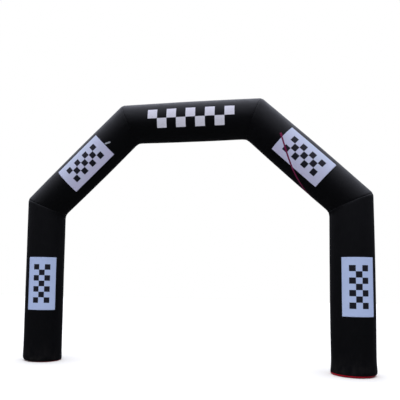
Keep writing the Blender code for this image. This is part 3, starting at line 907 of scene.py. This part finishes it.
strap_slant = math.atan(STRAP_TURN_PER_METRE * TUBE_SHAPE["Radius"])
strap_tab = (STRAP_TAB_LENGTH, STRAP_TAB_WIDTH)
strap_tab_places = {
    "right_tab": STRAP_TOP - STRAP_TAB_INSET,
    "rear_tab": STRAP_BOTTOM + STRAP_TAB_INSET,
}
for tab_name, tab_at in strap_tab_places.items():
    lay_tab(tab_name, "right_haunch", tab_at, strap_angle(tab_at), strap_tab, strap_slant, red_webbing)
lay_tab("left_tab", "left_haunch", LEFT_TAB_AT, LEFT_TAB_ANGLE, (LEFT_TAB_LENGTH, LEFT_TAB_WIDTH),
        -LEFT_TAB_SLANT, grey_webbing)
lay_webbing("side_strap", "right_haunch", (STRAP_TOP, strap_angle(STRAP_TOP)),
            (STRAP_BOTTOM, strap_angle(STRAP_BOTTOM)), STRAP_WIDTH, red_webbing, PANEL_TOP, TAB_TOP)

# ------------------------------------------------------------------------------------------------
# The stitching. Bonded polyester thread closes every mitre, the soles and the seam up the back of
# each tube in twin lockstitched rows, holds the panels by their hems and boxes the webbing's ends.
# ------------------------------------------------------------------------------------------------

# Real stitches are 4 mm apart. These are larger, so that each one shows, on both kinds of seam.
TUBE_STITCH = {"Stitch length": 0.009, "Stitch width": 0.0020}
WEBBING_STITCH = {"Stitch length": 0.0045, "Stitch width": 0.0012}
# From one stitch to the next in lengths of a stitch, and a stitch's height in widths.
STITCH_GAP_SHARE = 1.33
STITCH_HEIGHT_SHARE = 0.7
# How far the twin rows lie from a mitre, a sole, the back's middle and a panel's edge.
MITRE_ROWS = (0.010, 0.020)
SOLE_ROWS = (0.052, 0.062)
BACK_ROWS = (-0.006, 0.006)
HEM_ROWS = (0.007, 0.017)
BACK_ROW_MARGIN = 0.035
BOX_INSET = 0.004
STRAP_BOX_LENGTH = 0.045
# A stitch's direction is taken from this share of its row ahead, and this far up from the cloth.
NUDGE = 0.002


def stitch_row_tree():
    """A row of stitches on a tube, between two places or along the edge of a mitre."""
    takes = {
        **TUBE_SOCKETS,
        **dict.fromkeys((
            "From along", "From angle", "To along", "To angle", "Follow start", "Follow end", "Lift",
            "Stitch length", "Stitch width"), FLOAT),
        "Count": INTEGER, "Thread": MATERIAL}
    tree, given, result = new_tree("row of stitches", takes, {"Geometry": GEOMETRY})

    def place(share, lift):
        """Where a point of the row is, at a share of its length and a height above the cloth."""
        angle = add(tree, MIX, {"Factor": share, "A": given["From angle"], "B": given["To angle"]})
        along = add(tree, MIX, {"Factor": share, "A": given["From along"], "B": given["To along"]})
        ends = add(tree, GROUP, tube_of(given, Angle=angle), node_tree=tube_ends)
        for end, follow in (("First", "Follow start"), ("Last", "Follow end")):
            along = add(tree, MATH, (ends.outputs[end], given[follow], along), operation="MULTIPLY_ADD")
        return add(tree, GROUP, tube_of(given, Along=along, Angle=angle, Lift=lift), node_tree=tube_surface)

    index = add(tree, "GeometryNodeInputIndex")
    share = add(tree, MATH, (index, 0.5), operation="ADD")
    share = add(tree, MATH, (share, given["Count"]), operation="DIVIDE")
    spot = place(share, given["Lift"])
    next_share = add(tree, MATH, (share, NUDGE), operation="ADD")
    ahead = add(tree, VECTOR_MATH, (place(next_share, given["Lift"]), spot), operation="SUBTRACT")
    raised = add(tree, MATH, (given["Lift"], NUDGE), operation="ADD")
    outward = add(tree, VECTOR_MATH, (place(share, raised), spot), operation="SUBTRACT")
    turn = add(tree, "FunctionNodeAxesToRotation", (outward, ahead), primary_axis="Z", secondary_axis="X")
    line = add(tree, "GeometryNodeMeshLine", {"Count": given["Count"]})
    points = add(tree, "GeometryNodeSetPosition", {"Geometry": line, "Position": spot})
    height = add(tree, MATH, (given["Stitch width"], STITCH_HEIGHT_SHARE), operation="MULTIPLY")
    size = add(tree, "ShaderNodeCombineXYZ", (given["Stitch length"], given["Stitch width"], height))
    stitch = add(tree, "GeometryNodeMeshUVSphere", {"Segments": 6, "Rings": 4, "Radius": 0.5})
    laid = add(tree, "GeometryNodeInstanceOnPoints",
               {"Points": points, "Instance": stitch, "Rotation": turn, "Scale": size})
    realized = add(tree, "GeometryNodeRealizeInstances", {"Geometry": laid})
    smooth = add(tree, "GeometryNodeSetShadeSmooth", {"Geometry": realized})
    finished = add(tree, "GeometryNodeSetMaterial", {"Geometry": smooth, "Material": given["Thread"]})
    give(tree, result, Geometry=finished.outputs[0])
    return tree


# Bonded thread is twisted polyester filament under a clear coat. The eye sees short beads with a
# soft shine, a little faded about every 33 mm. Its plies are drawn 1.2 mm apart so that they show.
BLACK_THREAD = "#0c0c10"
WHITE_THREAD = "#bfc7e4"
RED_THREAD = "#881047"
THREAD_FINISH = {"Roughness": 0.45, "Specular IOR Level": 0.2}
THREAD_SPOTS_PER_METRE = 30.0
THREAD_FADE = (0.75, 1.1)
THREAD_RELIEF = 0.5
PLY_PITCH = 0.0012
PLY_HEIGHT = PLY_PITCH / 4


def bonded_thread(name, colour):
    """Bonded thread of one colour, with a fine lay of plies across each stitch."""
    made, tree, shader = new_material(name, THREAD_FINISH)
    place = add(tree, "ShaderNodeTexCoord").outputs["Object"]
    plies = add(tree, "ShaderNodeTexWave", {"Vector": place, "Scale": WAVE_BANDS / PLY_PITCH},
                bands_direction="DIAGONAL")
    fade = add(tree, NOISE, {"Vector": place, "Scale": THREAD_SPOTS_PER_METRE})
    fade = add(tree, "ShaderNodeMapRange", (fade, *NOISE_SPAN, *THREAD_FADE))
    tint = add(tree, VECTOR_MATH, {"Vector": linear(colour)[:3], "Scale": fade}, operation="SCALE")
    tree.links.new(tint.outputs[0], shader.inputs["Base Color"])
    relief = add(tree, "ShaderNodeBump",
                 {"Height": plies.outputs["Fac"], "Strength": THREAD_RELIEF, "Distance": PLY_HEIGHT})
    tree.links.new(relief.outputs[0], shader.inputs["Normal"])
    return made


stitch_row = stitch_row_tree()
black_thread = bonded_thread("black_bonded_thread", BLACK_THREAD)
white_thread = bonded_thread("white_bonded_thread", WHITE_THREAD)
red_thread = bonded_thread("red_bonded_thread", RED_THREAD)


def row(start, end, lift=0.0, follow_start=0.0, follow_end=0.0):
    """A row's values: its first and last (along, angle) places, and the mitre that it follows."""
    return {"From along": start[0], "From angle": start[1], "To along": end[0], "To angle": end[1],
            "Lift": lift, "Follow start": follow_start, "Follow end": follow_end}


def sew(name, tube_name, rows, stitch, thread):
    """Sews rows of stitches on a tube, and joins them into one mesh."""
    joined = bmesh.new()
    for values in rows:
        round_it = (values["To angle"] - values["From angle"]) * TUBE_SHAPE["Radius"]
        length = math.hypot(values["To along"] - values["From along"], round_it)
        count = round(length / (stitch["Stitch length"] * STITCH_GAP_SHARE))
        sizes = {**tubes[tube_name], **values, **stitch, "Count": count, "Thread": thread}
        sewn = grow(name, stitch_row, sizes)
        joined.from_mesh(sewn.data)
        bpy.data.objects.remove(sewn)
    mesh = bpy.data.meshes.new(name)
    joined.to_mesh(mesh)
    joined.free()
    mesh.materials.append(thread)
    mesh.shade_smooth()
    made = bpy.data.objects.new(name, mesh)
    bpy.context.scene.collection.objects.link(made)
    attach(made, "root")


def box(at, angle, slant, length, width, lift):
    """The rows of a box stitch with a cross in it, turned by slant from the tube's axis."""
    corners = []
    for ahead, beside in ((-1, -1), (1, -1), (1, 1), (-1, 1)):
        x, y = ahead * length / 2, beside * width / 2
        along = at + x * math.cos(slant) - y * math.sin(slant)
        turn = angle + (x * math.sin(slant) + y * math.cos(slant)) / TUBE_SHAPE["Radius"]
        corners.append((along, turn))
    pairs = ((0, 1), (1, 2), (2, 3), (3, 0), (0, 2), (1, 3))
    return [row(corners[a], corners[b], lift) for a, b in pairs]


for tube_name, values in tubes.items():
    has_sole = not values["Start bend"]
    rows = []
    for inset in MITRE_ROWS:
        if not has_sole:
            rows.append(row((inset, 0.0), (inset, math.tau), follow_start=1.0))
        rows.append(row((-inset, 0.0), (-inset, math.tau), follow_end=1.0))
    low = BACK_ROW_MARGIN
    if has_sole:
        low = max(SOLE_ROWS) + BACK_ROW_MARGIN / 2
        rows += [row((inset, 0.0), (inset, math.tau)) for inset in SOLE_ROWS]
    for beside in BACK_ROWS:
        back = math.pi + beside / TUBE_SHAPE["Radius"]
        rows.append(row((low, back), (values["Length"] - BACK_ROW_MARGIN, back)))
    sew("stitches_" + tube_name, tube_name, rows, TUBE_STITCH, black_thread)

hem_lift = PANEL_SHAPE["Panel lift"] + PANEL_THICKNESS + PANEL_SHAPE["Hem height"]
for tube_name, (middle, length, turn) in panel_at.items():
    rows = []
    for inset in HEM_ROWS:
        low, high = middle - length / 2 + inset, middle + length / 2 - inset
        half_turn = (PANEL_WIDTH / 2 - inset) / TUBE_SHAPE["Radius"]
        left, right = turn - half_turn, turn + half_turn
        corners = ((low, left), (high, left), (high, right), (low, right))
        rows += [row(a, b, hem_lift) for a, b in zip(corners, corners[1:] + corners[:1])]
    sew("stitches_banner_" + tube_name, tube_name, rows, TUBE_STITCH, white_thread)

tab_top = WEBBING_SHAPE["Lift"] + WEBBING_THICKNESS
strap_box = (STRAP_BOX_LENGTH, STRAP_WIDTH - 2 * BOX_INSET)
rows = []
for tab_at in strap_tab_places.values():
    rows += box(tab_at, strap_angle(tab_at), strap_slant, *strap_box, tab_top + TAB_TOP)
sew("stitches_side_strap", "right_haunch", rows, WEBBING_STITCH, red_thread)
left_box = (LEFT_TAB_LENGTH - 2 * BOX_INSET, LEFT_TAB_WIDTH - 2 * BOX_INSET)
rows = box(LEFT_TAB_AT, LEFT_TAB_ANGLE, -LEFT_TAB_SLANT, *left_box, tab_top)
sew("stitches_left_tab", "left_haunch", rows, WEBBING_STITCH, white_thread)

# ------------------------------------------------------------------------------------------------
# The plain floor, the soft light of a wide sky, and the camera. The camera sees the floor pale; to
# the arch it is grey ground that throws a little light up, and it isn't mirrored in the cloth.
# ------------------------------------------------------------------------------------------------

FLOOR_HALF = 30.0
FLOOR_COLOUR = "#f5f2e4"
GROUND_COLOUR = "#c0c0b8"
FLOOR_FINISH = {"Roughness": 0.9}
SKY_COLOUR = "#e2e5f6"
# The sky brightens from its horizon's strength to its zenith's between these heights on its axis.
SKY_AXIS = (-0.03, 0.0, 1.0)
SKY_LOW = 0.12
SKY_HIGH = 1.0
HORIZON_STRENGTH = 0.05
ZENITH_STRENGTH = 2.9
BACKDROP_COLOUR = "#ffffff"
BACKDROP_STRENGTH = 1.0
# The camera's place in metres, its turns in radians, its focal length in pixels of the frame, and
# how far its picture is shifted each way, in frames.
EYE = Vector((1.235, -8.842, 1.505))
LOOK_LEFT = 0.1984
LOOK_UP = 0.0796
LEAN_LEFT = 0.0152
FOCAL_PIXELS = 500.4
FRAME_PIXELS = 400.0
FRAME_SHIFT = 0.10

floor_mesh = bpy.data.meshes.new("studio_floor")
floor_corners = [(x * FLOOR_HALF, y * FLOOR_HALF, 0.0) for x, y in ((-1, -1), (1, -1), (1, 1), (-1, 1))]
floor_mesh.from_pydata(floor_corners, [], [(0, 1, 2, 3)])
studio_floor = bpy.data.objects.new("studio_floor", floor_mesh)
bpy.context.scene.collection.objects.link(studio_floor)
floor_paint, floor_tree, floor_shader = new_material("studio_floor_paint", FLOOR_FINISH)
seen = add(floor_tree, "ShaderNodeLightPath").outputs["Is Camera Ray"]
floor_tone = add(floor_tree, MIX, data_type="RGBA",
                 inputs={"Factor": seen, "A": linear(GROUND_COLOUR), "B": linear(FLOOR_COLOUR)})
floor_tree.links.new(floor_tone.outputs["Result"], floor_shader.inputs["Base Color"])
floor_mesh.materials.append(floor_paint)
studio_floor.visible_glossy = False

# The light comes from a sky that is bright overhead and dim near the horizon, as out of doors, so
# the black cloth stays black with light upper edges. The backdrop itself is plain pale.
sky = bpy.data.worlds.new("studio_sky")
bpy.context.scene.world = sky
sky.use_nodes = True
sky_tree = sky.node_tree
sky_way = add(sky_tree, "ShaderNodeTexCoord").outputs["Generated"]
sky_height = add(sky_tree, VECTOR_MATH, (sky_way, SKY_AXIS), operation="DOT_PRODUCT").outputs["Value"]
sky_light = add(sky_tree, "ShaderNodeMapRange", interpolation_type="SMOOTHSTEP", inputs={
    "Value": sky_height, "From Min": SKY_LOW, "From Max": SKY_HIGH, "To Min": HORIZON_STRENGTH,
    "To Max": ZENITH_STRENGTH})
seen = add(sky_tree, "ShaderNodeLightPath").outputs["Is Camera Ray"]
sky_strength = add(sky_tree, MIX, {"Factor": seen, "A": sky_light, "B": BACKDROP_STRENGTH})
sky_colour = add(sky_tree, MIX, data_type="RGBA",
                 inputs={"Factor": seen, "A": linear(SKY_COLOUR), "B": linear(BACKDROP_COLOUR)})
background = sky_tree.nodes["Background"]
sky_tree.links.new(sky_colour.outputs["Result"], background.inputs["Color"])
sky_tree.links.new(sky_strength.outputs["Result"], background.inputs["Strength"])
bpy.context.scene.view_settings.view_transform = "Standard"

lens = bpy.data.cameras.new("studio_camera")
lens.lens = lens.sensor_width * FOCAL_PIXELS / FRAME_PIXELS
lens.shift_x = FRAME_SHIFT
lens.shift_y = FRAME_SHIFT
camera = bpy.data.objects.new("studio_camera", lens)
camera.location = EYE
camera.rotation_euler = (math.pi / 2 + LOOK_UP, 0.0, LOOK_LEFT)
camera.rotation_euler.rotate_axis("Z", LEAN_LEFT)
bpy.context.scene.collection.objects.link(camera)
bpy.context.scene.camera = camera
